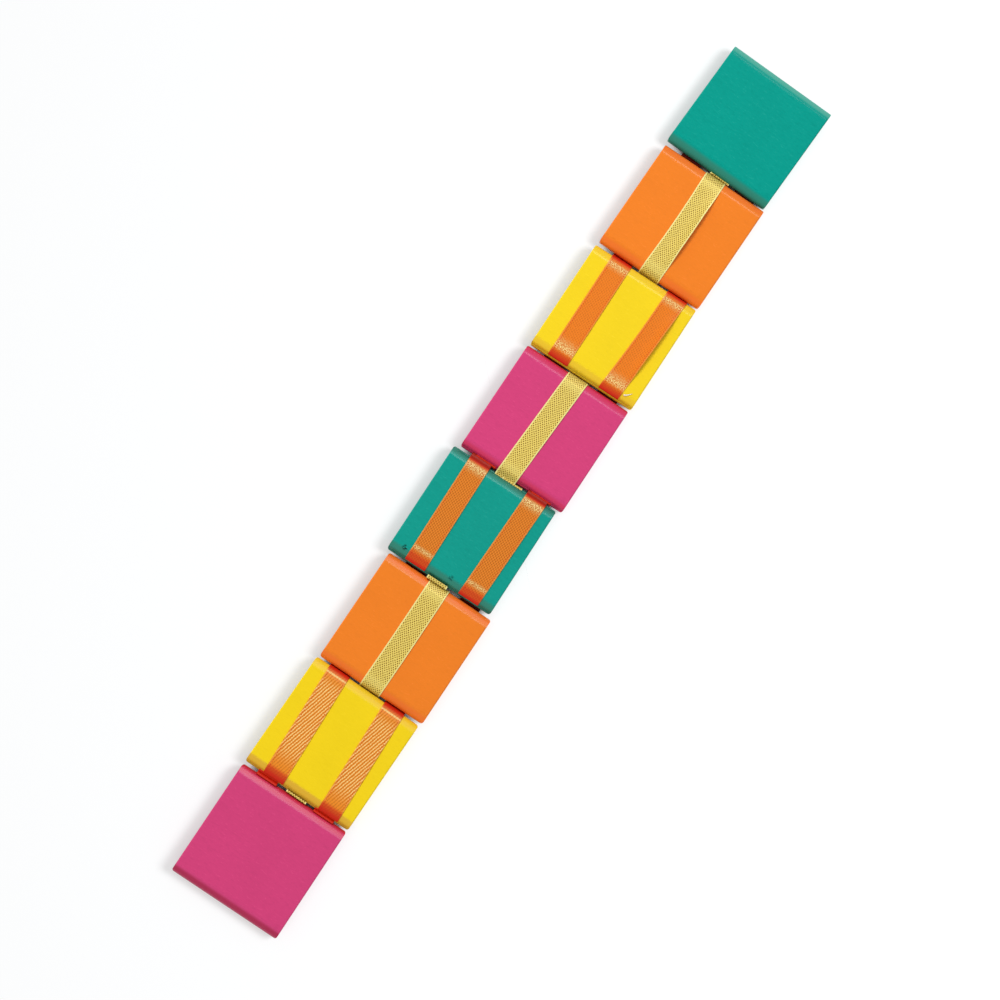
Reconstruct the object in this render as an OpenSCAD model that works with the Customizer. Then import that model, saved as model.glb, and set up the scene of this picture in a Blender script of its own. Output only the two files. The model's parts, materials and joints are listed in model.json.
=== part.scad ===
// Jacob's ladder: eight painted wooden blocks, each tied to the next by three ribbons, lying open and flat.
// Millimetres. +X runs along the ladder from block 1 to block 8, +Z is up, and the ribbons rest on Z = 0.

/* [Blocks] */
// Length of a block along the ladder, over its bevelled ends
block_length = 45.7; // [30:0.1:80]
// Width of a block across the ladder
block_width = 45; // [40:0.5:80]
// Thickness of a block
block_thick = 7.2; // [6:0.1:12]
// Radius of the tip of a block's bevelled ends, seen from the side
tip_round = 2.8; // [1.6:0.1:3.2]
// Radius of a block's four corners, seen from above
corner_round = 1; // [0.4:0.1:3]
// Radius along the side edges of both faces
edge_round = 0.6; // [0.2:0.1:1.5]

/* [Saw cuts] */
// Height of the cut along each end, which the ribbons are glued into
cut_height = 0.6; // [0.6:0.1:1.2]
// Depth of the cut
cut_depth = 4; // [2:0.5:8]
// Distance of the cut from the middle of the thickness
cut_off = 1.5; // [0:0.1:2]

/* [Ribbons] */
// Width of a ribbon
ribbon_width = 8.7; // [5:0.1:10]
// Thickness of a ribbon
ribbon_thick = 0.3; // [0.15:0.05:0.4]
// Bare wood between the left ribbons and the left side of their block
left_margin = 6.95; // [4:0.05:7.5]
// Bare wood between the right ribbons and the right side of their block
right_margin = 5.15; // [3:0.05:6.5]
// Slack between a ribbon and the wood under it
slack = 0.05; // [0.02:0.01:0.1]

/* [Joints] */
// Clear space between two blocks where they come closest
gap = 0.65; // [0.45:0.05:2]

/* [Colours] */
// First paint
green = "#149d8e"; // color
// Second paint
orange = "#f4822b"; // color
// Third paint
yellow = "#f9da24"; // color
// Fourth paint
pink = "#d8477e"; // color
// Centre ribbons
gold = "#dcbe5f"; // color
// Outer ribbons
satin = "#ea7a2a"; // color

/* [Hidden] */
$fn = 96;
block_count = 8;
joint_count = block_count - 1;

// How the loosely tied blocks lie: each one's sideways shift, and its turn in degrees
lie_shift = [0.3, 0.1, 0, 0, -1.3, 0.8, 0.1, 0.1];
lie_turn = [-1.7, -0.3, 0.7, 0.4, 1, 0.2, -0.3, 0.4];
// Sideways place of each centre ribbon on its block
centre_lie = [0, 0.8, 0, -1.1, 1.4, -0.2, 0];
// Saw cuts at each block's upper and lower end that lie nearer the front (1) or nearer the back (-1)
upper_cut = [-1, -1, -1, -1, 1, -1, -1, -1];
lower_cut = [-1, -1, 1, 1, 1, -1, 1, -1];

left_at = block_width / 2 - left_margin - ribbon_width / 2;
right_at = block_width / 2 - right_margin - ribbon_width / 2;
paints = [green, orange, yellow, pink];
// Each end is as deep as half the thickness
nose = block_thick / 2;
// Slope of the bevels, which run into the tip a little inside its surface
tip_inset = 0.02;
tip_back = nose - tip_round;
bevel = atan2(nose, tip_back) - asin((tip_round - tip_inset) / norm([tip_back, nose]));
flat = block_length - 2 * nose;
lift = ribbon_thick + slack;
inner = nose + slack;
outer = inner + ribbon_thick;
middle = inner + ribbon_thick / 2;
overlap = 1;
// A crossing length is thinner than the bend that it grows out of by this on each side
weld = 0.02;
hinge_rise = ribbon_thick / 2 + 2 * slack;

// Room that two neighbours' turns take up between their corners
function turn_room(k) = block_width / 2 * sin(abs(lie_turn[k] - lie_turn[k - 1]));
// Distance of a block's middle from the first block's
function run(k) = k == 0 ? 0 : run(k - 1) + block_length + gap + turn_room(k);
// Reach of a turned block from its middle, for its size along and across that direction
function reach(along, across, turn) =
    (along / 2 - corner_round) * cos(turn)
    + (across / 2 - corner_round) * abs(sin(turn))
    + corner_round;
function reach_x(k) = reach(block_length, block_width, lie_turn[k]);
function reach_y(k) = reach(block_width, block_length, lie_turn[k]);

last = block_count - 1;
sides_low = [for (k = [0:last]) lie_shift[k] - reach_y(k)];
sides_high = [for (k = [0:last]) lie_shift[k] + reach_y(k)];
mid_x = (run(last) + reach_x(last) - reach_x(0)) / 2;
mid_y = (min(sides_low) + max(sides_high)) / 2;

function block_x(k) = run(k) - mid_x;
function block_y(k) = lie_shift[k] - mid_y;
// Height of a block's saw cut at its upper (-1) or lower (1) end, from the middle of the thickness
function cut_z(k, end) = (end < 0 ? upper_cut[k] : lower_cut[k]) * cut_off;
// Even joints fold front to front (1), odd ones back to back (-1)
function joint_face(joint) = joint % 2 == 0 ? 1 : -1;
// Depth of a point on an end's tip or bevel behind the end
function set_back(level) =
    abs(level) < tip_round * cos(bevel)
    ? tip_round - sqrt(tip_round * tip_round - level * level)
    : nose - (nose - abs(level)) / tan(bevel);

// Hinge axes along Y, midway in each gap: X and Z of each
echo(hinges = [for (j = [1:joint_count]) [
    (block_x(j - 1) + block_x(j)) / 2,
    joint_face(j) > 0 ? lift + block_thick + hinge_rise : lift - hinge_rise
]]);
// Middle of each block, seen from above
echo(middles = [for (k = [0:last]) [block_x(k), block_y(k)]]);

// Places a piece, drawn about the middle of its block, where block k lies
module lay(k) {
    translate([block_x(k), block_y(k), lift + nose]) rotate([0, 0, lie_turn[k]]) children();
}

module rounded_square(width, height, radius) {
    square([width - 2 * radius, height], center = true);
    square([width, height - 2 * radius], center = true);
    for (x = [-1, 1], y = [-1, 1])
        translate([x * (width / 2 - radius), y * (height / 2 - radius)]) circle(radius);
}

// Side view of one end, from the edges of the flat faces: two bevels and a round tip
module end_profile() {
    touch = (tip_round - tip_inset) * [sin(bevel), cos(bevel)] + [tip_back, 0];
    translate([tip_back, 0]) circle(tip_round);
    polygon([
        [-overlap, -nose],
        [0, -nose],
        [touch[0], -touch[1]],
        touch,
        [0, nose],
        [-overlap, nose]
    ]);
}

// Side view of a block: flat faces and bevelled ends
module side_profile() {
    square([flat, block_thick], center = true);
    for (turn = [0, 180]) rotate(turn) translate([flat / 2, 0]) end_profile();
}

module ring() {
    difference() {
        circle(outer);
        circle(inner);
    }
}

// End of a ribbon that bows over the block's own end into its saw cut at the given level
module tucked_end(level) {
    low = level - ribbon_thick / 2;
    mouth = sqrt(middle * middle - level * level);
    intersection() {
        ring();
        translate([-outer - overlap, low]) square([outer + overlap, outer + overlap - low]);
    }
    translate([-mouth, low]) square([mouth - nose + cut_depth - slack, ribbon_thick]);
}

// End of a ribbon that leaves the block for the next one's saw cut at the given level, cut in mid-gap
module crossing_end(level) {
    target = [nose + gap + set_back(level), level];
    leave = atan2(target[1], target[0]) + acos(middle / norm(target));
    across = sqrt(target * target - middle * middle);
    out = [cos(leave), sin(leave)];
    along = [sin(leave), -cos(leave)];
    wide = 2 * outer;
    between = (leave + 90) / 2;
    intersection() {
        union() {
            intersection() {
                ring();
                polygon([[0, 0], wide * out, 2 * wide * [cos(between), sin(between)], [0, wide]]);
            }
            polygon([
                (inner + weld) * out - ribbon_thick / 2 * along,
                (inner + weld) * out + across * along,
                (outer - weld) * out + across * along,
                (outer - weld) * out - ribbon_thick / 2 * along
            ]);
        }
        translate([-wide, -wide]) square([wide + nose + gap / 2, 2 * wide]);
    }
}

// Side view of a ribbon on a front face, tucked in at the -X end and crossing at the +X end
module ribbon_profile(tuck_level, far_level) {
    translate([-flat / 2, inner]) square([flat, ribbon_thick]);
    translate([-flat / 2, 0]) tucked_end(tuck_level);
    translate([flat / 2, 0]) crossing_end(far_level);
}

// One ribbon of a joint, lying on block k and crossing to block far, at a sideways place on block k
module ribbon(joint, k, far, place) {
    face = joint_face(joint);
    // Centre ribbons run between upper ends, outer ones between lower ends
    end = far > k ? -1 : 1;
    lay(k)
        translate([0, place, 0])
        mirror([far < k ? 1 : 0, 0, 0])
        mirror([0, 0, face < 0 ? 1 : 0])
        rotate([90, 0, 0])
        linear_extrude(ribbon_width, center = true)
        ribbon_profile(face * cut_z(k, end), face * cut_z(far, end));
}

module block(k) {
    color(paints[k % len(paints)]) lay(k) difference() {
        intersection() {
            rotate([90, 0, 0]) linear_extrude(block_width, center = true) side_profile();
            rotate([90, 0, 90]) linear_extrude(block_length, center = true)
                rounded_square(block_width, block_thick, edge_round);
            linear_extrude(block_thick, center = true)
                rounded_square(block_length, block_width, corner_round);
        }
        for (x = [-1, 1])
            translate([x * (block_length + overlap - cut_depth) / 2, 0, cut_z(k, x)])
                cube([cut_depth + overlap, block_width + 2 * overlap, cut_height], center = true);
    }
}

module centre_ribbon(joint) {
    color(gold) ribbon(joint, joint - 1, joint, centre_lie[joint - 1]);
}

module left_ribbon(joint) {
    color(satin) ribbon(joint, joint, joint - 1, -left_at);
}

module right_ribbon(joint) {
    color(satin) ribbon(joint, joint, joint - 1, right_at);
}

for (k = [1:block_count])
    block(k - 1);
for (j = [1:joint_count])
    centre_ribbon(j);
for (j = [1:joint_count])
    left_ribbon(j);
for (j = [1:joint_count])
    right_ribbon(j);
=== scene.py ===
"""Looks of a Jacob's ladder: painted blocks, gold and satin ribbons, and a plain studio floor."""

import json
import math

import bmesh
import bpy
from bpy.props import FloatProperty, FloatVectorProperty, PointerProperty
from mathutils import Matrix, Vector
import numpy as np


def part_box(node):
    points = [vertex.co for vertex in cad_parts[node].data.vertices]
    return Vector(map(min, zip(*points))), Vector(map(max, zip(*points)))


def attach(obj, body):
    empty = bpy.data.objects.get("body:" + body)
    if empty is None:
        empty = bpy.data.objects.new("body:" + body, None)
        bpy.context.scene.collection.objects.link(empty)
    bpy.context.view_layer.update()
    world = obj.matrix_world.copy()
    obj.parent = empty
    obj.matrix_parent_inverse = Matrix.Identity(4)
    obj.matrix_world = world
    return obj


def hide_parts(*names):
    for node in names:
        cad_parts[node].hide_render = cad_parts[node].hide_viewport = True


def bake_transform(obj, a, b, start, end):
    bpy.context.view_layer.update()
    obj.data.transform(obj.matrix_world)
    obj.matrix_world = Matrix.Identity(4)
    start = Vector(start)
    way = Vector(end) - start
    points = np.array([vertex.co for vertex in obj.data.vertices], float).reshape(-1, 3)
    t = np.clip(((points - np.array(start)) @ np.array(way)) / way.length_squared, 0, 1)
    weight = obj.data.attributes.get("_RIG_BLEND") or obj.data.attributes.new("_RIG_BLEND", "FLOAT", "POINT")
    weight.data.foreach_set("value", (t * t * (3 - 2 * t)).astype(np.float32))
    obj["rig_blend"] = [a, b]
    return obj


bl_info = {
    "name": "Jacob's ladder",
    "version": (1, 0, 0),
    "blender": (4, 5, 0),
    "location": "View3D > Sidebar > Ladder",
    "description": "Paints the blocks of a Jacob's ladder, lays its ribbons and lights it",
    "category": "Object",
}

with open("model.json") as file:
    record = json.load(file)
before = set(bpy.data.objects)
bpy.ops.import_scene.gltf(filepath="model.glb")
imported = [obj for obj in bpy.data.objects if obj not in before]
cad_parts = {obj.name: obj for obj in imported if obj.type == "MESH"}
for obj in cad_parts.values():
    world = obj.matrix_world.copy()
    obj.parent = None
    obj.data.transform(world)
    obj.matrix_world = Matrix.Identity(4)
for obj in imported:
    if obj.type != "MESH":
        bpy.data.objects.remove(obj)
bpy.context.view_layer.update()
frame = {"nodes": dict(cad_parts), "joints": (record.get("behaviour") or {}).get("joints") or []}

MM = 0.001
WHITE = (1, 1, 1)

# Sizes of the solids, in millimetres
LENGTH = 45.7
NOSE = 3.6
TIP = 2.8
SLACK = 0.05
CUT_OFF = 1.5
CUT_DEPTH = 4.0
FLAT_HALF = LENGTH / 2 - NOSE
TIP_AT = FLAT_HALF + NOSE - TIP
BEVEL = math.atan2(NOSE, NOSE - TIP) - math.asin(TIP / math.hypot(NOSE - TIP, NOSE))

# The blocks' turn as they lie, in degrees, and the side of the thickness that their saw cuts are on
BLOCKS = 8
LIE_TURN = (-1.7, -0.3, 0.7, 0.4, 1.0, 0.2, -0.3, 0.4)
UPPER_CUT = (-1, -1, -1, -1, 1, -1, -1, -1)
LOWER_CUT = (-1, -1, 1, 1, 1, -1, 1, -1)

# How far the wood's grain shows through each paint
PAINT_ORDER = ("green", "orange", "yellow", "pink")
GRAIN = {"green": 0.6, "orange": 0.3, "yellow": 0.25, "pink": 0.45}
# Gloss of the paint, and of the blocks that are duller than the others
GLOSS = 0.2
DULL = {1: 0.07, 7: 0.09}
# Ends with their own painted light and shade: painted light on the top of block 1, painted shade on the feet of
# blocks 7 and 8
TOPS = {1: "green_top"}
FEET = {7: "yellow_foot", 8: "pink_foot"}
# Where the painted light and shade of an end come in, in millimetres from the block's middle
UPPER_END_AT = (-19.4, -21.0)
LOWER_END_AT = (19.4, 21.0)
FEET_AT = {3: (18.6, 20.2), 5: (18.6, 20.2), 7: (18.6, 19.8)}
PINK_RIM_AT = (-21.6, -22.5)
# Radius over which the shading eases the shoulders of the ends
SHOULDER_EASE = 1.6 * MM

# Noise of the grain's streaks and pores (stretch, detail, roughness) and of the paint's clouding (scale first)
STREAKS = ((1300, 230, 600), 3.0, 0.6)
PORES = ((2400, 900, 1500), 2.0, 0.5)
CLOUDING = (55.0, 3.0, 0.55)
# From the middle of the fibres' noise to its dark and its light end, and the tones there
DARK_FIBRES = (0.52, 0.3)
LIGHT_FIBRES = (0.52, 0.72)
CLOUDED_TONE = 0.965
DARK_TONE = 0.82
LIGHT_TONE = 1.08
LIGHT_LIFT = 0.01

# Small nicks in the paint: place from a block's middle and radius, in metres, and the share of the tone left
NICKS = {5: (((0.0191, -0.0171, 0.0036), 0.0015, 0.06), ((0.0194, 0.0032, 0.0033), 0.0015, 0.35))}
# Share of a nick's radius that is bare, and the pores that break its edge
NICK_CORE = 0.3
NICK_PORES = (0.56, 0.5)

# Gold weave: millimetres to a repeat, heights where its gaps end and its tops begin, and its selvedge from the
# ribbon's middle line
GOLD_REPEAT = 1.3
GOLD_GAPS = (0.43, 0.62)
GOLD_TOPS = (0.8, 1.0)
SELVEDGE_AT = (3.75, 3.9)

# Satin: slant of its twill lines, millimetres to a pick and to an edge stitch, and heights where its gaps end and
# its tops begin
TWILL_SLANT = math.radians(18)
PICK_PITCH = 0.9
STITCH_PITCH = 0.95
SATIN_GAPS = (0.3, 0.6)
SATIN_TOPS = (0.6, 0.95)
# Row of stitches and pale edge, in millimetres from the ribbon's middle line
STITCHES_IN = (3.2, 3.4)
STITCHES_OUT = (3.75, 3.6)
SATIN_EDGE_AT = (3.75, 3.95)
# Satin without a speckled glint: its painted sheen of bright lines starts this far along the ribbon and fades at
# the far shoulder, and a thin painted glint lies just past that shoulder, in millimetres
LINES_IN = (9, 17)
LINES_OUT = (1.0, -4.0)
THIN_GLINT_IN = (1.0, 1.25)
THIN_GLINT_OUT = (1.95, 1.7)
# Where satin is deep in a gap, in millimetres past the shoulder, and the tone of its painted shade there
GAP_AT = (2.4, 3.3)
GAP_TONE = 0.05

# Looks of the satin: its tone, the pitch and weight of its twill lines, picks and speckle, the depth of the
# lines, their shine (a painted sheen where there is no speckled glint), whether the bends get a painted speckled
# glint, and how dark its painted shade is where it crosses deep in a gap
SATIN = {"tone": (1, 1, 1), "pitch": 0.8, "lines": 0.35, "picks": 0.3, "speckle": 0.45,
         "depth": 0.7, "shine": 0.15, "speckled_glint": True, "gap_shade": 0}
SATIN_LOOKS = {
    **{joint: SATIN | {"gap_shade": 0.85} for joint in (1, 3, 5)},
    2: SATIN | {"tone": (1.06, 1.25, 1.3), "lines": 0.2, "picks": 0.2, "speckle": 0.7},
    4: SATIN | {"tone": (0.94, 1.25, 1.7), "depth": 0.6, "shine": 0.3, "gap_shade": 0.45},
    6: SATIN | {"tone": (1.08, 1.6, 2.1), "pitch": 1.0, "lines": 0.55, "picks": 0.1, "speckle": 0.55,
                "shine": 0.95, "speckled_glint": False},
}

# Where a ribbon's painted sheen and painted shade lie at its tucked and its crossing end, in millimetres past the
# shoulder: the sheen rises and fades between two pairs of places, and each share of the shade comes in between two
PLAIN_TUCK = ((-3.2, -1.0, 0.2, 0.9), ((1, 0.6, 1.6),))
PLAIN_CROSS = ((-2.1, 0.1, 1.3, 2.0), ((1, 1.7, 2.7),))
TUCK_TONES = {
    2: ((-6.0, -1.2, -0.5, 0.3), ((0.7, -0.2, 1.3), (0.3, 1.1, 2.8))),
    4: ((-3.8, -2.8, -2.5, -1.2), ((0.7, -1.8, 0.2), (0.3, 1.6, 2.6))),
    6: ((-3.2, -1.0, 0.2, 0.9), ((0.75, -1.4, 0.2), (0.25, 0.4, 2.2))),
}
CROSS_TONES = {
    2: ((-2.1, 0.1, 0.7, 1.5), ((1, 1.3, 3.2),)),
    6: ((-2.1, 0.1, 1.3, 2.0), ((1, 1.2, 3.4),)),
}

# Half widths and half thicknesses of a ribbon's section, from its edge to its middle, as shares of the whole
LANES = (1.0, 0.985, 0.95, 0.88, 0.62, 0.32, 0.0)
SWELL = (0.0, 0.85, 1.15, 1.0, 1.0, 1.0, 1.0)
QUARTER = len(LANES) - 1

# A ribbon's path, in millimetres: the turn at the mouth of its own cut, the space left at the bottom of that cut,
# its length in the next block's cut, and how far past the middle of that cut, away from its face, it goes in
MOUTH_TURN = 0.35
CUT_CLEAR = 0.2
FAR_TUCK = 1.8
MOUTH_DROP = 0.15
# Share of a crossing's span over which it keeps to the headings of its ends
CROSSING_PULL = 0.35
# Steps in each length of the path
PATH_STEPS = {"cut": 3, "mouth": 6, "round": 5, "near_bevel": 4, "face": 30, "far_bevel": 8, "loop": 8,
              "crossing": 12, "far_cut": 2}

# A lifted edge: the part of the width that lifts, in millimetres, the shares of the length over which it rises
# and falls, and how far it is drawn in for its height
LIFT_ACROSS = (0.5, 4.3)
LIFT_RISE = 0.35
LIFT_FALL = 0.3
LIFT_DRAW = 0.25
# A ribbon's line runs on past its block's face by this share of the face's length
RUN_ON = 0.1

# Where a ribbon starts and ends its turn with the next block, in millimetres inside the hinge, also where it
# stands clear and where the next cut is deep, and how far that turn leans along the ladder
BEND_START = 0.125
BEND_START_CLEAR = 0.5
BEND_END = 2.0
BEND_END_DEEP = 2.6
BEND_LEAN = 0.1

# How each joint's ribbons lie, in millimetres: places across the block at both ends, a sideways bow, a lifted edge
# (side, height, start and end along the face), how far the crossing stands clear, the level that it goes in at,
# and the points of its loop in the gap (past the block's end, level, heading in degrees, reach)
SLIGHT_LIFT = (1, 0.12, 0.0, 1.0)
SATIN_LOOP = ((0.2, -0.6, 90, 0.5), (-0.1, -2.2, 0, 0.4), (0.55, -1.05, -80, 0.35))
GOLD_LIES = {
    1: {"from": 1.2, "to": 2.1, "loop": ((0.2, 0.2, 90, 0.5), (0.3, -0.7, 0, 0.4), (0.4, 0.3, -90, 0.4))},
    2: {"from": 0.35, "to": 0.35, "bow": 0.4, "lift": (1, 1.6, 0.0, 1.0)},
    3: {"from": 0.1, "to": 0.3, "stand": 0.4},
    4: {"from": -0.15, "to": -1.85, "lift": SLIGHT_LIFT, "stand": 0.4},
    5: {"from": 2.9, "to": 0.0, "loop": ((0.2, -0.8, 90, 0.6), (0.5, -3.1, 0, 1.2), (0.46, -0.6, -90, 1.2))},
    6: {"from": -0.3, "to": -0.33, "bow": 0.13, "lift": SLIGHT_LIFT},
    7: {"from": -0.2, "to": 0.2, "loop": ((0.2, -0.8, 90, 0.6), (0.33, -2.0, 0, 0.6), (0.46, -0.6, -90, 0.6))},
}
LEFT_LIES = {
    1: {"from": -11.0, "to": -11.2, "stand": 0.4},
    2: {"from": -10.7, "to": -10.85, "bow": 0.05, "lift": SLIGHT_LIFT},
    3: {"from": -11.3, "to": -11.0, "into": -1.8, "stand": 0.3},
    4: {"from": -10.65, "to": -11.05, "lift": SLIGHT_LIFT, "stand": 0.4},
    5: {"from": -11.1, "to": -11.2, "into": -1.8, "stand": 0.3},
    6: {"from": -10.6, "to": -12.35, "lift": SLIGHT_LIFT},
    7: {"from": -11.6, "to": -12.2, "loop": SATIN_LOOP},
}
RIGHT_LIES = {
    1: {"from": 13.0, "to": 13.1, "stand": 0.4},
    2: {"from": 12.0, "to": 13.75, "bow": 0.35, "lift": (1, 1.5, 0.05, 1.0)},
    3: {"from": 13.1, "to": 12.9, "into": -1.8, "stand": 0.3},
    4: {"from": 12.75, "to": 13.75, "lift": SLIGHT_LIFT, "stand": 0.4},
    5: {"from": 13.0, "to": 12.8, "into": -1.8, "stand": 0.3},
    6: {"from": 13.3, "to": 11.8, "lift": SLIGHT_LIFT},
    7: {"from": 12.3, "to": 12.4, "loop": SATIN_LOOP},
}

# Thread of dried glue on one block: points from the block's middle and radii, in millimetres
GLUE_BLOCK = 3
GLUE_SIDES = 10
GLUE_THREAD = (((19.9, 17.0, 3.3), 0.18), ((19.7, 17.5, 3.5), 0.3), ((19.4, 18.0, 3.7), 0.26),
               ((18.9, 18.6, 3.85), 0.18), ((18.3, 19.1, 3.85), 0.12), ((17.8, 19.6, 3.75), 0.05))
GLUE_CLOTS = (0.35, 0.65)

# Floor: half its size, its drop below the ribbons and the reach of its shading, in metres
FLOOR_HALF = 40
FLOOR_DROP = 0.0002
FLOOR_SHADING = 0.02
# Openness of the floor where its glow starts and where it grows, so that closed-in floor gets a painted shade,
# distances over which it grows, and its levels
GLOW_STARTS = (0.11, 0.16)
GLOW_OPENS = (0.45, 0.72)
GLOW_FAR = (0.4, 1.6)
GLOW_LEVEL = 0.525
GLOW_MORE_OPEN = 0.07
GLOW_MORE_FAR = 0.25

# Lights besides the key: the levels of the strip that the gloss shows, of the fill and of the floor's own light
STRIP_LEVEL = 0.38
FILL_LEVEL = 0.2
DROP_LEVEL = 1.05
KEY_TINT = (1, 0.995, 0.985)

# Camera: the point that it looks at, in millimetres, and its lean along and across the ladder and roll, in degrees
CAMERA_TARGET = (8.89, 1.45, 7.55)
CAMERA_LEAN = (6.61, 0.16)
CAMERA_ROLL = 34.08
SENSOR = 36
NEAREST = 0.01


def srgb(red, green, blue):
    """A colour given in 0 to 255 display values, as linear values."""
    return tuple(c / 12.92 if c <= 0.04045 else ((c + 0.055) / 1.055) ** 2.4
                 for c in (red / 255, green / 255, blue / 255))


def colour(name, description, *rgb):
    """A colour that the panel shows."""
    return FloatVectorProperty(name=name, description=description, subtype="COLOR", size=3,
                               min=0, max=1, default=srgb(*rgb))


class LadderPaints(bpy.types.PropertyGroup):
    green: colour("Green", "Faces of blocks 1 and 5", 4, 156, 141)
    orange: colour("Orange", "Faces of blocks 2 and 6", 245, 131, 35)
    yellow: colour("Yellow", "Faces of blocks 3 and 7", 249, 216, 28)
    pink: colour("Pink", "Faces of blocks 4 and 8", 216, 66, 124)
    # The ends' colours are painted shade: deeper tones over the bevelled ends, which turn from the light
    green_end: colour("Green ends", "Ends of blocks 1 and 5", 50, 135, 117)
    orange_end: colour("Orange ends", "Ends of blocks 2 and 6", 243, 120, 40)
    yellow_end: colour("Yellow ends", "Ends of blocks 3 and 7", 242, 203, 44)
    pink_end: colour("Pink ends", "Ends of blocks 4 and 8", 212, 54, 98)
    # Painted light: a paler upper end for block 1, which no other block shades
    green_top: colour("Green top", "Upper end of block 1, which no other block shades", 84, 171, 154)
    # Painted shade: a darker lower end for block 8, a deeper rim on the upper ends of blocks 4 and 8, and a darker
    # lower end for block 7
    pink_foot: colour("Pink foot", "Lower end of block 8", 176, 43, 82)
    pink_rim: colour("Pink rim", "Very edge of the upper ends of blocks 4 and 8", 200, 44, 58)
    yellow_foot: colour("Yellow foot", "Lower end of block 7", 232, 186, 56)


class LadderRibbons(bpy.types.PropertyGroup):
    width: FloatProperty(name="Width", description="Width of every ribbon",
                         default=8.6 * MM, unit="LENGTH")
    thick: FloatProperty(name="Thickness", description="Thickness of every ribbon",
                         default=0.3 * MM, unit="LENGTH")
    gold: colour("Gold", "Body of the gold weave", 236, 207, 96)
    gold_light: colour("Gold light", "Raised threads of the gold weave", 250, 230, 130)
    gold_dark: colour("Gold dark", "Gaps of the gold weave", 112, 74, 10)
    selvedge: colour("Selvedge", "Edge threads of the gold ribbons", 250, 244, 165)
    satin: colour("Satin", "Body of the satin", 233, 114, 24)
    satin_light: colour("Satin light", "Raised threads of the satin", 248, 172, 84)
    # Painted shade of the satin on its bends, where it turns from the light; its stitches take this colour too
    satin_deep: colour("Satin deep", "Dye of the satin where it turns from the light", 208, 42, 18)
    # Painted glint and sheen of the satin beside its bends
    glint: colour("Glint", "Sheen of the satin beside its bends", 255, 228, 150)


class LadderStage(bpy.types.PropertyGroup):
    key: FloatProperty(name="Key light", description="Level of the soft light over the first block",
                       default=0.585, min=0)
    sky: FloatProperty(name="Sky", description="Level of the light from all round", default=0.49, min=0)
    distance: FloatProperty(name="Camera distance", description="From the camera to the ladder",
                            default=0.75, unit="LENGTH")
    lens: FloatProperty(name="Lens", description="Focal length in millimetres", default=73.17)


def feed(tree, socket, value):
    """Links a socket to another one's value, or sets it."""
    if isinstance(value, bpy.types.NodeSocket):
        tree.links.new(value, socket)
    else:
        socket.default_value = value


def put(tree, kind, *inputs, out=0, **named):
    """Adds a node and returns one of its outputs. Lower-case names are settings, others are inputs."""
    node = tree.nodes.new(kind)
    for key, value in named.items():
        if key[0].islower():
            setattr(node, key, value)
        else:
            feed(tree, node.inputs[key.replace("_", " ")], value)
    for socket, value in zip(node.inputs, inputs):
        feed(tree, socket, value)
    return node.outputs[out] if node.outputs else None


def calc(tree, operation, *values, clamp=False):
    return put(tree, "ShaderNodeMath", *values, operation=operation, use_clamp=clamp)


def times(tree, first, second):
    return calc(tree, "MULTIPLY", first, second)


def plus(tree, first, second):
    return calc(tree, "ADD", first, second)


def split(tree, vector):
    """The three parts of a vector."""
    node = tree.nodes.new("ShaderNodeSeparateXYZ")
    tree.links.new(vector, node.inputs[0])
    return node.outputs[0], node.outputs[1], node.outputs[2]


def noise(tree, place, scale, detail, rough=0.5):
    return put(tree, "ShaderNodeTexNoise", Vector=place, Scale=scale, Detail=detail, Roughness=rough)


def stretch(tree, place, scale):
    return put(tree, "ShaderNodeMapping", place, Scale=scale)


def layer(tree, name):
    """A value that a ribbon's vertices carry."""
    return put(tree, "ShaderNodeAttribute", attribute_name=name, out=2)


def blend_colour(tree, share, first, second):
    """The first colour, with a share of the second."""
    node = tree.nodes.new("ShaderNodeMix")
    node.data_type = "RGBA"
    feed(tree, node.inputs[0], share)
    for index, value in ((6, first), (7, second)):
        feed(tree, node.inputs[index], value if isinstance(value, bpy.types.NodeSocket) else (*value, 1))
    return node.outputs[2]


def toned(base, share, lift=0):
    """A colour made darker or lighter."""
    return tuple(min(1, c * share + lift) for c in base)


def steps(tree, value, start, full):
    """0 before start, 1 beyond full, and smooth between; full may be the lower of the two."""
    node = tree.nodes.new("ShaderNodeMapRange")
    node.interpolation_type = "SMOOTHSTEP"
    for index, number in enumerate((value, start, full, 0.0, 1.0)):
        feed(tree, node.inputs[index], number)
    return node.outputs[0]


def band(tree, value, rise, fall):
    """1 between a rise and a fall, which are two places each."""
    return times(tree, steps(tree, value, *rise), steps(tree, value, *fall))


def wave(tree, phase):
    """0 to 1 and back once for each 1 of phase."""
    turned = calc(tree, "SINE", times(tree, phase, 2 * math.pi))
    return calc(tree, "MULTIPLY_ADD", turned, 0.5, 0.5)


def new_material(name):
    """An empty material and its node tree."""
    material = bpy.data.materials.new(name)
    material.use_nodes = True
    tree = material.node_tree
    tree.nodes.clear()
    return material, tree


def shade(tree, **named):
    """Ends a material in one shader."""
    shader = put(tree, "ShaderNodeBsdfPrincipled", **named)
    put(tree, "ShaderNodeOutputMaterial", Surface=shader)


def turn_normal(tree, normal, old, new):
    return put(tree, "ShaderNodeVectorTransform", normal, vector_type="NORMAL",
               convert_from=old, convert_to=new)


def eased_normal(tree, radius):
    """The surface's normal, eased over the shoulders of the bevelled ends but not over the side edges."""
    normals = (put(tree, "ShaderNodeBevel", samples=8, Radius=radius), put(tree, "ShaderNodeNewGeometry", out=1))
    eased, plain = (split(tree, turn_normal(tree, normal, "WORLD", "OBJECT")) for normal in normals)
    mixed = put(tree, "ShaderNodeCombineXYZ", eased[0], plain[1], eased[2])
    level = put(tree, "ShaderNodeVectorMath", mixed, operation="NORMALIZE")
    return turn_normal(tree, level, "OBJECT", "WORLD")


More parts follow.
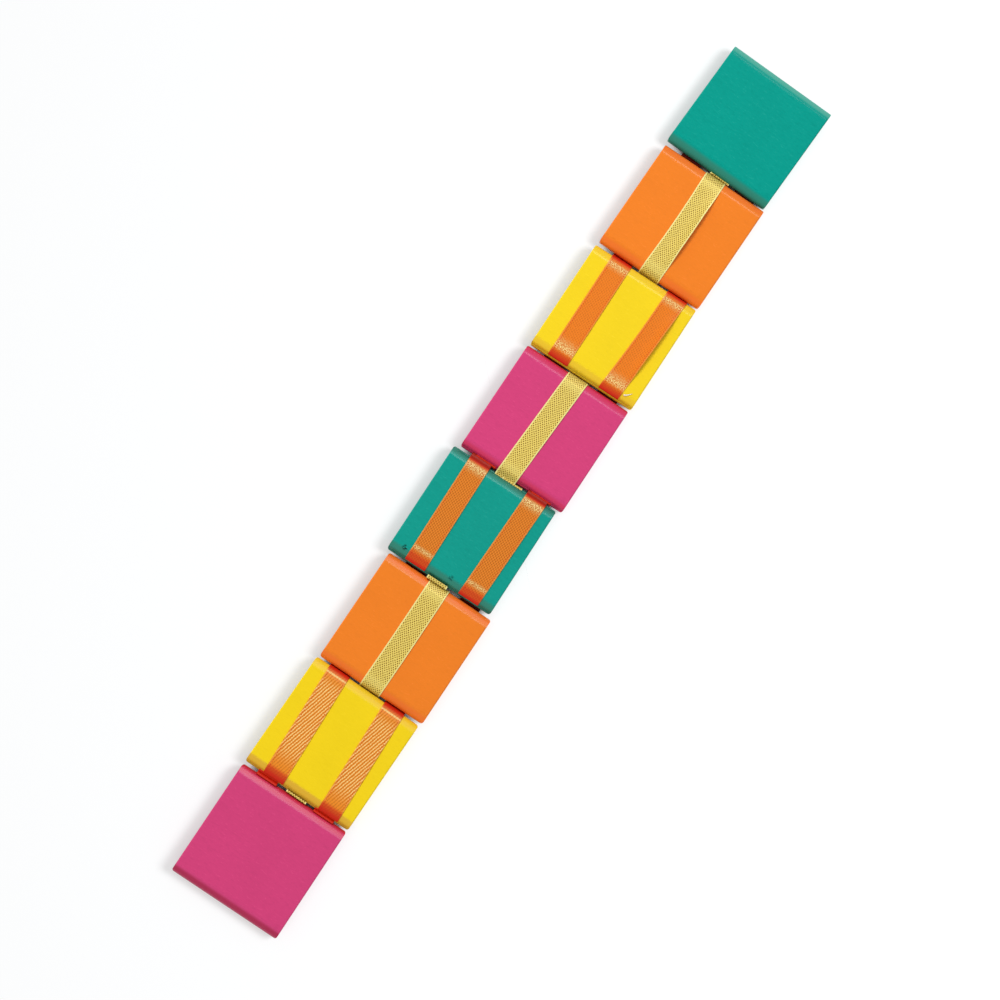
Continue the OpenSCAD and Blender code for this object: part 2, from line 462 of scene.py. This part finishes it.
def paint_finish(name, base, ends, grain, gloss, turn, middle, nicks):
    """Satin paint brushed over wood whose grain runs across the ladder, with painted light and shade over the
    bevelled ends.
    """
    material, tree = new_material(name)
    on_block = put(tree, "ShaderNodeMapping", put(tree, "ShaderNodeTexCoord", out=3), vector_type="TEXTURE",
                   Location=middle, Rotation=(0, 0, math.radians(turn)))
    streaks, pores = (noise(tree, stretch(tree, on_block, scale), 1.0, detail, rough)
                      for scale, detail, rough in (STREAKS, PORES))
    fibres = plus(tree, times(tree, streaks, 0.5), times(tree, pores, 0.5))
    clouds = steps(tree, noise(tree, on_block, *CLOUDING), 0.3, 0.7)
    tone = blend_colour(tree, clouds, toned(base, CLOUDED_TONE), base)
    for reach, fibre_tone in ((DARK_FIBRES, toned(base, DARK_TONE)),
                              (LIGHT_FIBRES, toned(base, LIGHT_TONE, LIGHT_LIFT))):
        tone = blend_colour(tree, times(tree, steps(tree, fibres, *reach), grain), tone, fibre_tone)
    lengthwise = split(tree, on_block)[0]
    # Painted shade over the bevelled ends, and painted light on the top of block 1
    for end_tone, start, full in ends:
        tone = blend_colour(tree, steps(tree, lengthwise, start * MM, full * MM), tone, end_tone)
    for spot, radius, left in nicks:
        away = put(tree, "ShaderNodeVectorMath", on_block, spot, operation="DISTANCE", out=1)
        bare = steps(tree, away, radius, NICK_CORE * radius)
        chipped = times(tree, bare, steps(tree, pores, *NICK_PORES))
        tone = blend_colour(tree, chipped, tone, toned(base, left))
    rough = plus(tree, times(tree, fibres, 0.12), 0.2)
    relief = put(tree, "ShaderNodeBump", Strength=0.02, Distance=0.0001, Height=fibres,
                 Normal=eased_normal(tree, SHOULDER_EASE))
    shade(tree, Base_Color=tone, Roughness=rough, Normal=relief, Specular_IOR_Level=gloss)
    return material


def ribbon_place(tree):
    """A ribbon's UV map, and the millimetres along and across the ribbon that it holds."""
    uv = put(tree, "ShaderNodeUVMap", uv_map="ribbon")
    along, across, _ = split(tree, uv)
    return uv, along, across


def gold_finish(name, ribbons):
    """Metallic thread in a fine staggered weave between two pale selvedges, with a painted sheen beside the bends
    and painted shade on them.
    """
    material, tree = new_material(name)
    uv, along, across = ribbon_place(tree)
    drift = times(tree, noise(tree, uv, scale=0.7, detail=2.0), 0.55)
    rise = plus(tree, calc(tree, "DIVIDE", along, GOLD_REPEAT), drift)
    slants = (wave(tree, calc(tree, way, rise, across)) for way in ("ADD", "SUBTRACT"))
    knots = calc(tree, "MAXIMUM", *slants)
    speckle = noise(tree, uv, scale=2.6, detail=1.0)
    height = plus(tree, times(tree, knots, 0.75), times(tree, speckle, 0.35))
    body = blend_colour(tree, steps(tree, height, *GOLD_GAPS), ribbons.gold_dark, ribbons.gold)
    woven = blend_colour(tree, steps(tree, height, *GOLD_TOPS), body, ribbons.gold_light)
    # Painted sheen beside the bends, then painted shade on the bends
    lit = blend_colour(tree, times(tree, layer(tree, "sheen"), 0.4), woven, ribbons.gold_light)
    turned = blend_colour(tree, times(tree, layer(tree, "bend"), 0.15), lit, ribbons.gold_dark)
    edge = steps(tree, calc(tree, "ABSOLUTE", across), *SELVEDGE_AT)
    tone = blend_colour(tree, times(tree, edge, 0.8), turned, ribbons.selvedge)
    relief = put(tree, "ShaderNodeBump", Strength=0.5, Distance=0.00012, Height=height)
    shade(tree, Base_Color=tone, Metallic=0.12, Roughness=0.42, Normal=relief, Specular_IOR_Level=0.35)
    return material


def satin_finish(name, ribbons, look):
    """Warp-faced satin: slanting twill lines, a painted sheen beside each bend and painted shade on the bend."""
    material, tree = new_material(name)
    uv, along, across = ribbon_place(tree)
    bend, sheen, past = (layer(tree, kind) for kind in ("bend", "sheen", "past"))
    over = times(tree, across, math.cos(TWILL_SLANT) / look["pitch"])
    down = times(tree, along, math.sin(TWILL_SLANT) / look["pitch"])
    drift = times(tree, noise(tree, uv, scale=0.5, detail=2.0), 0.5)
    phase = plus(tree, calc(tree, "SUBTRACT", over, down), drift)
    picks = wave(tree, plus(tree, calc(tree, "DIVIDE", along, PICK_PITCH), times(tree, phase, 0.5)))
    height = times(tree, wave(tree, phase), look["lines"])
    for part, share in ((picks, look["picks"]), (noise(tree, uv, scale=2.4, detail=1.0), look["speckle"])):
        height = plus(tree, height, times(tree, part, share))
    base = tuple(min(1, c * s) for c, s in zip(ribbons.satin, look["tone"]))
    low = toned(base, look["depth"])
    tone = blend_colour(tree, steps(tree, height, *SATIN_GAPS), low, base)
    raised = times(tree, steps(tree, height, *SATIN_TOPS), look["shine"])
    if look["speckled_glint"]:
        tone = blend_colour(tree, raised, tone, ribbons.satin_light)
        # Painted glint beside the bends: darker specks and pale sparkles
        tone = blend_colour(tree, times(tree, sheen, 0.8), tone, low)
        sparkle = steps(tree, noise(tree, uv, scale=2.6, detail=1.0), 0.44, 0.58)
        tone = blend_colour(tree, times(tree, sheen, sparkle), tone, ribbons.glint)
    else:
        # Painted sheen of bright lines along the face, and a thin painted glint just past the far shoulder
        midway = times(tree, steps(tree, along, *LINES_IN), steps(tree, past, *LINES_OUT))
        tone = blend_colour(tree, times(tree, raised, midway), tone, ribbons.glint)
        broken = steps(tree, noise(tree, uv, scale=1.6, detail=2.0), 0.25, 0.5)
        thin = times(tree, band(tree, past, THIN_GLINT_IN, THIN_GLINT_OUT), broken)
        tone = blend_colour(tree, times(tree, thin, 0.75), tone, ribbons.glint)
    rim = calc(tree, "ABSOLUTE", across)
    threads = steps(tree, wave(tree, calc(tree, "DIVIDE", along, STITCH_PITCH)), 0.45, 0.7)
    stitches = times(tree, band(tree, rim, STITCHES_IN, STITCHES_OUT), threads)
    tone = blend_colour(tree, times(tree, stitches, 0.6), tone, ribbons.satin_deep)
    edge = steps(tree, rim, *SATIN_EDGE_AT)
    tone = blend_colour(tree, times(tree, edge, 0.35), tone, ribbons.satin_light)
    # Painted shade on the bends
    tone = blend_colour(tree, bend, tone, ribbons.satin_deep)
    # Painted shade where the satin crosses deep in a gap
    if look["gap_shade"]:
        in_gap = times(tree, steps(tree, past, *GAP_AT), look["gap_shade"])
        tone = blend_colour(tree, in_gap, tone, toned(ribbons.satin_deep, GAP_TONE))
    relief = put(tree, "ShaderNodeBump", Strength=0.35, Distance=0.0001, Height=height)
    shade(tree, Base_Color=tone, Roughness=0.45, Normal=relief, Specular_IOR_Level=0.2)
    return material


def glue_finish():
    """Dried white glue, a little clearer where it is thin."""
    material, tree = new_material("dried_glue")
    clots = noise(tree, put(tree, "ShaderNodeTexCoord", out=3), scale=2500.0, detail=2.0)
    tone = blend_colour(tree, steps(tree, clots, *GLUE_CLOTS), srgb(222, 214, 196), srgb(252, 250, 244))
    shade(tree, Base_Color=tone, Roughness=0.35, Specular_IOR_Level=0.4)
    return material


def floor_finish():
    """White card: open floor shows white, what stands on it keeps its shadow, and its glow dims as painted shade
    where the blocks close it in.
    """
    material, tree = new_material("floor_card")
    rays = tree.nodes.new("ShaderNodeLightPath").outputs
    direct = calc(tree, "ADD", rays["Is Camera Ray"], rays["Is Glossy Ray"], clamp=True)
    open_sky = put(tree, "ShaderNodeAmbientOcclusion", out=1, samples=16, Distance=FLOOR_SHADING)
    away = put(tree, "ShaderNodeVectorMath", put(tree, "ShaderNodeTexCoord", out=3), operation="LENGTH", out=1)
    # The glow dims with the floor's openness: painted shade in the gaps and beside the blocks
    level = calc(tree, "MULTIPLY_ADD", steps(tree, open_sky, *GLOW_OPENS), GLOW_MORE_OPEN, GLOW_LEVEL)
    level = calc(tree, "MULTIPLY_ADD", steps(tree, away, *GLOW_FAR), GLOW_MORE_FAR, level)
    glow = put(tree, "ShaderNodeEmission", Strength=times(tree, steps(tree, open_sky, *GLOW_STARTS), level))
    card = put(tree, "ShaderNodeBsdfDiffuse", Color=(0.33, 0.336, 0.34, 1))
    bounce = put(tree, "ShaderNodeBsdfDiffuse", Color=(0.88, 0.88, 0.88, 1))
    shown = put(tree, "ShaderNodeAddShader", glow, card)
    put(tree, "ShaderNodeOutputMaterial", Surface=put(tree, "ShaderNodeMixShader", direct, bounce, shown))
    return material


def block_place(number):
    """Matrix from a block's own middle to the ladder."""
    low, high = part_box(f"block_{number}")
    turn = math.radians(LIE_TURN[number - 1])
    return Matrix.Translation((low + high) / 2) @ Matrix.Rotation(turn, 4, "Z")


def arc(centre, radius, start, end, count):
    """Points and headings round a centre; angles run from straight up towards +X."""
    angles = (math.radians(start + (end - start) * i / count) for i in range(1, count + 1))
    return [(centre[0] + radius * math.sin(a), centre[1] + radius * math.cos(a), a) for a in angles]


def line(start, end, count):
    """Points and headings along a straight length."""
    along, up = end[0] - start[0], end[1] - start[1]
    heading = -math.atan2(up, along)
    return [(start[0] + along * i / count, start[1] + up * i / count, heading) for i in range(1, count + 1)]


def swing(start, start_heading, end, end_heading, pull, count):
    """A slack length between two points and headings."""
    p0, p3 = Vector(start), Vector(end)
    p1 = p0 + pull * Vector((math.cos(start_heading), -math.sin(start_heading)))
    p2 = p3 - pull * Vector((math.cos(end_heading), -math.sin(end_heading)))
    points = []
    for i in range(1, count + 1):
        t = i / count
        at = (1 - t) ** 3 * p0 + 3 * (1 - t) ** 2 * t * p1 + 3 * (1 - t) * t * t * p2 + t ** 3 * p3
        way = (1 - t) ** 2 * (p1 - p0) + 2 * (1 - t) * t * (p2 - p1) + t * t * (p3 - p2)
        points.append((at.x, at.y, -math.atan2(way.y, way.x)))
    return points


def tangent_turn(centre, radius, point):
    """Angle, from level, at which a ribbon leaves a rounded edge for a point beyond it."""
    away = Vector(point) - Vector(centre)
    return math.degrees(math.asin(min(1, radius / away.length)) - math.atan2(away.y, away.x))


def run_lengths(stations):
    """Length of a path from its start to each of its stations."""
    lengths = [0]
    for (x1, z1, _), (x2, z2, _) in zip(stations, stations[1:]):
        lengths.append(lengths[-1] + math.hypot(x2 - x1, z2 - z1))
    return lengths


def stand_clear(stations, height):
    """Lifts a length off what it passes, by height in its middle and not at all at its ends."""
    lengths = run_lengths(stations)
    lifted = []
    for (x, z, heading), length in zip(stations, lengths):
        rise = height * math.sin(math.pi * length / lengths[-1]) ** 2
        lifted.append((x + rise * math.sin(heading), z + rise * math.cos(heading), heading))
    return lifted


def ribbon_path(tuck_level, mouth, thick, loop, stand):
    """Stations of a ribbon in its block's side view: out of its own cut, along the face and into the next."""
    off = SLACK + thick / 2
    over_tip = TIP + off
    slope = math.degrees(BEVEL)
    rise = tuck_level + MOUTH_TURN
    reach = over_tip - MOUTH_TURN
    if rise < reach * math.cos(BEVEL):
        out = TIP_AT + math.sqrt(reach ** 2 - rise ** 2)
        knee = math.degrees(math.atan2(out - TIP_AT, rise))
    else:
        out = TIP_AT + (reach - math.cos(BEVEL) * rise) / math.sin(BEVEL)
        knee = slope
    inside = FLAT_HALF + NOSE - CUT_DEPTH + CUT_CLEAR
    stations = [(-inside, tuck_level, math.pi)]
    stations += line((-inside, tuck_level), (-out, tuck_level), PATH_STEPS["cut"])
    stations += arc((-out, rise), MOUTH_TURN, -180, -knee, PATH_STEPS["mouth"])
    if knee > slope:
        stations += arc((-TIP_AT, 0), over_tip, -knee, -slope, PATH_STEPS["round"])
    edge = (-FLAT_HALF - off * math.sin(BEVEL), NOSE + off * math.cos(BEVEL))
    stations += line(stations[-1], edge, PATH_STEPS["near_bevel"])
    stations += arc((-FLAT_HALF, NOSE), off, -slope, 0, PATH_STEPS["round"])
    stations += line((-FLAT_HALF, NOSE + off), (FLAT_HALF, NOSE + off), PATH_STEPS["face"])
    crossing = len(stations)
    goal = (FLAT_HALF + NOSE + loop[0][0], loop[0][1]) if loop else mouth
    leave = tangent_turn((FLAT_HALF, NOSE), off, goal)
    stations += arc((FLAT_HALF, NOSE), off, 0, min(leave, slope), PATH_STEPS["round"])
    if leave > slope:
        foot = (TIP_AT + over_tip * math.sin(BEVEL), over_tip * math.cos(BEVEL))
        stations += line(stations[-1], foot, PATH_STEPS["far_bevel"])
        leave = tangent_turn((TIP_AT, 0), over_tip, goal)
        stations += arc((TIP_AT, 0), over_tip, slope, leave, PATH_STEPS["round"])
    x, z, heading = stations[-1]
    for past, level, way, pull in loop:
        point = (FLAT_HALF + NOSE + past, level)
        stations += swing((x, z), heading, point, math.radians(way), pull, PATH_STEPS["loop"])
        x, z, heading = stations[-1]
    pull = CROSSING_PULL * math.hypot(mouth[0] - x, mouth[1] - z)
    stations += swing((x, z), heading, mouth, 0, pull, PATH_STEPS["crossing"])
    stations[crossing:] = stand_clear(stations[crossing:], stand)
    return stations + line(mouth, (mouth[0] + FAR_TUCK, mouth[1]), PATH_STEPS["far_cut"])


def sweep(mesh, ring, places):
    """Draws a ring of vertices through a row of places, closes both ends and returns all the rings."""
    edges = list({e for v in ring for e in v.link_edges})
    bmesh.ops.transform(mesh, matrix=places[0], verts=ring)
    bmesh.ops.contextual_create(mesh, geom=edges)
    rings = [ring]
    for here, there in zip(places, places[1:]):
        grown = bmesh.ops.extrude_edge_only(mesh, edges=edges)["geom"]
        edges = [g for g in grown if isinstance(g, bmesh.types.BMEdge)]
        rings.append([g for g in grown if isinstance(g, bmesh.types.BMVert)])
        bmesh.ops.transform(mesh, matrix=there @ here.inverted(), verts=rings[-1])
    bmesh.ops.contextual_create(mesh, geom=edges)
    return rings


def settle(mesh, place):
    """Smooths a drawn mesh, puts it in its place and turns its faces outwards."""
    for face in mesh.faces:
        face.smooth = True
    bmesh.ops.transform(mesh, matrix=place, verts=mesh.verts)
    bmesh.ops.recalc_face_normals(mesh, faces=mesh.faces)


def add_piece(name, mesh, material):
    """Makes a mesh one of the scene's objects."""
    piece = bpy.data.objects.new(name, bpy.data.meshes.new(name))
    mesh.to_mesh(piece.data)
    mesh.free()
    piece.data.materials.append(material)
    bpy.context.scene.collection.objects.link(piece)
    return piece


def ribbon_section(mesh, width, thick):
    """A flat closed ring across the ribbon, thicker along its selvedges."""
    ring = bmesh.ops.create_circle(mesh, cap_ends=False, segments=4 * QUARTER, radius=1)["verts"]
    for vert in ring:
        step = round(math.degrees(math.atan2(vert.co.y, vert.co.x)) * QUARTER / 90)
        lane = QUARTER - abs(QUARTER - abs(step))
        side = 1 if abs(step) <= QUARTER else -1
        upper = math.copysign(1, step)
        vert.co = (0, side * LANES[lane] * width / 2, upper * SWELL[lane] * thick / 2)
    return ring


def pull_ribbon(stations, width, thick):
    """Draws the section along the stations; every vertex keeps how far along and across it lies."""
    mesh = bmesh.new()
    along = mesh.verts.layers.float.new("along")
    across = mesh.verts.layers.float.new("across")
    ring = ribbon_section(mesh, width, thick)
    for vert in ring:
        vert[across] = vert.co.y
    places = [Matrix.Translation((x, 0, z)) @ Matrix.Rotation(heading, 4, "Y") for x, z, heading in stations]
    for drawn, length in zip(sweep(mesh, ring, places), run_lengths(stations)):
        for vert in drawn:
            vert[along] = length
    return mesh


def soft(value, low, high):
    """0 below low, 1 above high, and smooth between."""
    t = min(1, max(0, (value - low) / (high - low)))
    return t * t * (3 - 2 * t)


def lay_ribbon(mesh, layout):
    """Moves the drawn ribbon sideways to the line it lies on, with its bow and any lifted edge."""
    across = mesh.verts.layers.float["across"]
    first, last = layout["from"], layout["to"]
    lift = layout.get("lift")
    for vert in mesh.verts:
        t = min(1 + RUN_ON, max(-RUN_ON, (vert.co.x + FLAT_HALF) / (2 * FLAT_HALF)))
        on_face = 0 < t < 1
        bow = layout.get("bow", 0) * 4 * t * (1 - t) if on_face else 0
        vert.co.y += first + (last - first) * t + bow
        if lift and on_face:
            edge, height, low, high = lift
            share = soft(vert[across] * edge, *LIFT_ACROSS)
            hump = soft(t, low, low + LIFT_RISE) * (1 - soft(t, high - LIFT_FALL, high))
            vert.co.z += height * share * hump
            vert.co.y -= edge * LIFT_DRAW * height * share * hump


def finish_ribbon(mesh, tones, place):
    """Sets the UV map, the masks of painted shade (bend) and painted sheen (sheen), and the past that the finishes
    read, then puts the ribbon in its place.
    """
    along, across = (mesh.verts.layers.float[kind] for kind in ("along", "across"))
    bend = mesh.verts.layers.float.new("bend")
    sheen = mesh.verts.layers.float.new("sheen")
    past = mesh.verts.layers.float.new("past")
    for vert in mesh.verts:
        vert[past] = vert.co.x - FLAT_HALF
        beyond = abs(vert.co.x) - FLAT_HALF
        (rise, full, fade, out), bend_shades = tones[vert.co.x > 0]
        vert[bend] = sum(share * soft(beyond, low, high) for share, low, high in bend_shades)
        vert[sheen] = soft(beyond, rise, full) * (1 - soft(beyond, fade, out))
    uv = mesh.loops.layers.uv.new("ribbon")
    for face in mesh.faces:
        for loop in face.loops:
            loop[uv].uv = (loop.vert[along], loop.vert[across])
    settle(mesh, place)
    for kind in ("along", "across"):
        mesh.verts.layers.float.remove(mesh.verts.layers.float[kind])


def joint_hinge(number):
    """A point on a joint's axis."""
    joint = next(j for j in frame["joints"] if j["name"] == f"fold_{number}")
    return Vector(joint["pos_m"])


def fold_with(piece, joint, carrier, face, deep, stand):
    """The ribbon follows its block as far as the bend, and the next block from that one's saw cut."""
    start = (BEND_START_CLEAR if stand else BEND_START) * MM
    span = (BEND_END_DEEP if deep else BEND_END) * MM - start
    slope = Vector((BEND_LEAN / MM * (1 if carrier == joint else -1), 0, -face / span))
    near = joint_hinge(joint) + Vector((0, 0, -face * start))
    far = near + slope / slope.length_squared
    other = joint + 1 if carrier == joint else joint
    if (face > 0) == (carrier == joint):
        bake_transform(piece, f"rung_{carrier}", f"rung_{other}", start=near, end=far)
    else:
        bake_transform(piece, f"rung_{other}", f"rung_{carrier}", start=far, end=near)


def make_ribbon(node, joint, carrier, layout, ribbons, material):
    """One ribbon of a joint, carried on one block and ending in the other's saw cut."""
    # Even joints have their ribbons on the front, gold ribbons run down the ladder and satin ones run up
    face = 1 if joint % 2 == 0 else -1
    other = joint + 1 if carrier == joint else joint
    way = 1 if other > carrier else -1
    thick = ribbons.thick / MM
    home, next_door = block_place(carrier), block_place(other)
    flip = Matrix.Diagonal((way, 1, face, 1))
    cuts = UPPER_CUT if way > 0 else LOWER_CUT
    depth = layout.get("into", cuts[other - 1] * CUT_OFF - face * MOUTH_DROP)
    inset = TIP - math.sqrt(TIP ** 2 - depth ** 2)
    mouth_there = Vector((-way * (LENGTH / 2 - inset) * MM, layout["to"] * MM, depth * MM))
    mouth = (flip @ home.inverted() @ next_door @ mouth_there) / MM
    stand = layout.get("stand", 0)
    path = ribbon_path(face * cuts[carrier - 1] * CUT_OFF, (mouth.x, mouth.z), thick,
                       layout.get("loop", ()), stand)
    mesh = pull_ribbon(path, ribbons.width / MM, thick)
    lay_ribbon(mesh, layout)
    tones = (PLAIN_TUCK, PLAIN_CROSS)
    if way < 0:
        tones = (TUCK_TONES.get(joint, PLAIN_TUCK), CROSS_TONES.get(joint, PLAIN_CROSS))
    finish_ribbon(mesh, tones, home @ Matrix.Diagonal((way * MM, MM, face * MM, 1)))
    piece = add_piece(node + "_cloth", mesh, material)
    fold_with(piece, joint, carrier, face, face * depth < 0, stand)
    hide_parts(node)


class LADDER_OT_blocks(bpy.types.Operator):
    """Paint the eight blocks"""
    bl_idname = "ladder.blocks"
    bl_label = "Paint the blocks"

    def execute(self, context):
        paints = context.scene.ladder_paints
        for number in range(1, BLOCKS + 1):
            paint = PAINT_ORDER[(number - 1) % len(PAINT_ORDER)]
            # Each end gets its painted shade, and block 1's top gets painted light instead
            top, foot = (getattr(paints, own.get(number, paint + "_end")) for own in (TOPS, FEET))
            ends = [(top, *UPPER_END_AT), (foot, *FEET_AT.get(number, LOWER_END_AT))]
            if paint == "pink":
                ends.append((paints.pink_rim, *PINK_RIM_AT))
            material = paint_finish(f"{paint}_paint_{number}", tuple(getattr(paints, paint)), ends,
                                    GRAIN[paint], DULL.get(number, GLOSS), LIE_TURN[number - 1],
                                    block_place(number).translation, NICKS.get(number, ()))
            node = frame["nodes"][f"block_{number}"]
            node.data.materials.clear()
            node.data.materials.append(material)
        return {"FINISHED"}


class LADDER_OT_gold(bpy.types.Operator):
    """Lay the gold ribbon of every joint"""
    bl_idname = "ladder.gold"
    bl_label = "Lay the gold ribbons"

    def execute(self, context):
        ribbons = context.scene.ladder_ribbons
        material = gold_finish("gold_weave", ribbons)
        for joint, layout in GOLD_LIES.items():
            make_ribbon(f"centre_ribbon_{joint}", joint, joint, layout, ribbons, material)
        return {"FINISHED"}


class LADDER_OT_satin(bpy.types.Operator):
    """Lay the two satin ribbons of every joint"""
    bl_idname = "ladder.satin"
    bl_label = "Lay the satin ribbons"

    def execute(self, context):
        ribbons = context.scene.ladder_ribbons
        plain = satin_finish("satin", ribbons, SATIN)
        looks = {joint: satin_finish(f"satin_{joint}", ribbons, look) for joint, look in SATIN_LOOKS.items()}
        for side, lies in (("left", LEFT_LIES), ("right", RIGHT_LIES)):
            for joint, layout in lies.items():
                make_ribbon(f"{side}_ribbon_{joint}", joint, joint + 1, layout, ribbons,
                            looks.get(joint, plain))
        return {"FINISHED"}


class LADDER_OT_glue(bpy.types.Operator):
    """Draw the thread of dried glue beside the right ribbon of block 3"""
    bl_idname = "ladder.glue"
    bl_label = "Draw the glue thread"

    def execute(self, context):
        mesh = bmesh.new()
        ring = bmesh.ops.create_circle(mesh, cap_ends=False, segments=GLUE_SIDES, radius=1)["verts"]
        points = [Vector(point) for point, _ in GLUE_THREAD]
        places = []
        for index, (point, radius) in enumerate(GLUE_THREAD):
            way = points[min(index + 1, len(points) - 1)] - points[max(index - 1, 0)]
            turn = way.to_track_quat("Z", "Y").to_matrix().to_4x4()
            places.append(Matrix.Translation(point) @ turn @ Matrix.Scale(radius, 4))
        sweep(mesh, ring, places)
        settle(mesh, block_place(GLUE_BLOCK) @ Matrix.Scale(MM, 4))
        thread = add_piece("glue_thread", mesh, glue_finish())
        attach(thread, f"rung_{GLUE_BLOCK}")
        return {"FINISHED"}


def area_light(name, place, size, level, tint):
    """A square light at the ladder; its level is 1 where it alone would show a white card as white, face on."""
    data = bpy.data.lights.new(name, "AREA")
    data.size = size
    data.color = tint
    away = -Vector(place)
    data.energy = level * math.pi * math.pi * away.length_squared
    light = bpy.data.objects.new(name, data)
    light.location = place
    light.rotation_euler = away.to_track_quat("-Z", "Y").to_euler()
    bpy.context.scene.collection.objects.link(light)
    return light


def light_only(light, floor, keep):
    """Links a light to the floor alone, or to everything but the floor."""
    group = bpy.data.collections.new(light.name + "_reach")
    group.objects.link(floor)
    light.light_linking.receiver_collection = group
    group.collection_objects[0].light_linking.link_state = "INCLUDE" if keep else "EXCLUDE"


def add_sky(level):
    """White where the camera sees it, and an even light on everything else."""
    world = bpy.data.worlds.new("studio")
    world.use_nodes = True
    tree = world.node_tree
    tree.nodes.clear()
    strength = calc(tree, "MAXIMUM", put(tree, "ShaderNodeLightPath"), level)
    sky = put(tree, "ShaderNodeBackground", Color=(*WHITE, 1), Strength=strength)
    put(tree, "ShaderNodeOutputWorld", Surface=sky)
    bpy.context.scene.world = world


def add_camera(stage):
    """A camera almost straight above the ladder, rolled so that the ladder slants through the picture."""
    lean = Vector((*(math.sin(math.radians(angle)) for angle in CAMERA_LEAN), 0))
    back = Vector((lean.x, lean.y, math.sqrt(1 - lean.length_squared)))
    level = Vector((-1, 0, 0)).cross(back).normalized()
    upright = back.cross(level)
    roll = math.radians(CAMERA_ROLL)
    right = math.cos(roll) * level + math.sin(roll) * upright
    up = -math.sin(roll) * level + math.cos(roll) * upright
    data = bpy.data.cameras.new("camera")
    data.lens = stage.lens
    data.sensor_width = SENSOR
    data.clip_start = NEAREST
    camera = bpy.data.objects.new("camera", data)
    place = Matrix.Translation(Vector(CAMERA_TARGET) * MM + stage.distance * back)
    camera.matrix_world = place @ Matrix((right, up, back)).transposed().to_4x4()
    bpy.context.scene.collection.objects.link(camera)
    bpy.context.scene.camera = camera


class LADDER_OT_stage(bpy.types.Operator):
    """Set up the floor, the light and the camera"""
    bl_idname = "ladder.stage"
    bl_label = "Set the stage"

    def execute(self, context):
        stage = context.scene.ladder_stage
        mesh = bmesh.new()
        bmesh.ops.create_grid(mesh, x_segments=1, y_segments=1, size=FLOOR_HALF,
                              matrix=Matrix.Translation((0, 0, -FLOOR_DROP)))
        floor = add_piece("floor", mesh, floor_finish())
        add_sky(stage.sky)
        # Name, place and size in metres, level, tint, and the rays that don't see the light
        lights = (
            ("key", (-0.42, -0.525, 0.875), 0.42, stage.key, KEY_TINT, "glossy"),
            ("strip", (-1.13, -0.15, 0.97), 0.5, STRIP_LEVEL, WHITE, "diffuse"),
            ("fill", (2.4, 0.2, 1.2), 1.6, FILL_LEVEL, WHITE, "glossy"),
            ("drop", (-0.5, 0.75, 1.3), 0.6, DROP_LEVEL, WHITE, None),
        )
        for name, place, size, level, tint, blind in lights:
            light = area_light(name, place, size, level, tint)
            if blind:
                setattr(light, f"visible_{blind}", False)
            light_only(light, floor, name == "drop")
        add_camera(stage)
        context.scene.view_settings.view_transform = "Standard"
        return {"FINISHED"}


OPERATORS = (LADDER_OT_blocks, LADDER_OT_gold, LADDER_OT_satin, LADDER_OT_glue, LADDER_OT_stage)


class LADDER_PT_panel(bpy.types.Panel):
    """Sidebar panel of the ladder's pieces"""
    bl_idname = "LADDER_PT_panel"
    bl_label = "Jacob's ladder"
    bl_space_type = "VIEW_3D"
    bl_region_type = "UI"
    bl_category = "Ladder"

    def draw(self, context):
        for operator in OPERATORS:
            self.layout.operator(operator.bl_idname)
        for group in (context.scene.ladder_paints, context.scene.ladder_ribbons, context.scene.ladder_stage):
            box = self.layout.box()
            for name in group.__annotations__:
                box.prop(group, name)


CLASSES = (LadderPaints, LadderRibbons, LadderStage, *OPERATORS, LADDER_PT_panel)


def register():
    for item in CLASSES:
        bpy.utils.register_class(item)
    bpy.types.Scene.ladder_paints = PointerProperty(type=LadderPaints)
    bpy.types.Scene.ladder_ribbons = PointerProperty(type=LadderRibbons)
    bpy.types.Scene.ladder_stage = PointerProperty(type=LadderStage)


def unregister():
    for name in ("ladder_stage", "ladder_ribbons", "ladder_paints"):
        delattr(bpy.types.Scene, name)
    for item in reversed(CLASSES):
        bpy.utils.unregister_class(item)


def main():
    register()
    bpy.ops.ladder.stage()
    bpy.ops.ladder.blocks()
    bpy.ops.ladder.gold()
    bpy.ops.ladder.satin()
    bpy.ops.ladder.glue()


if __name__ == "__main__":
    main()
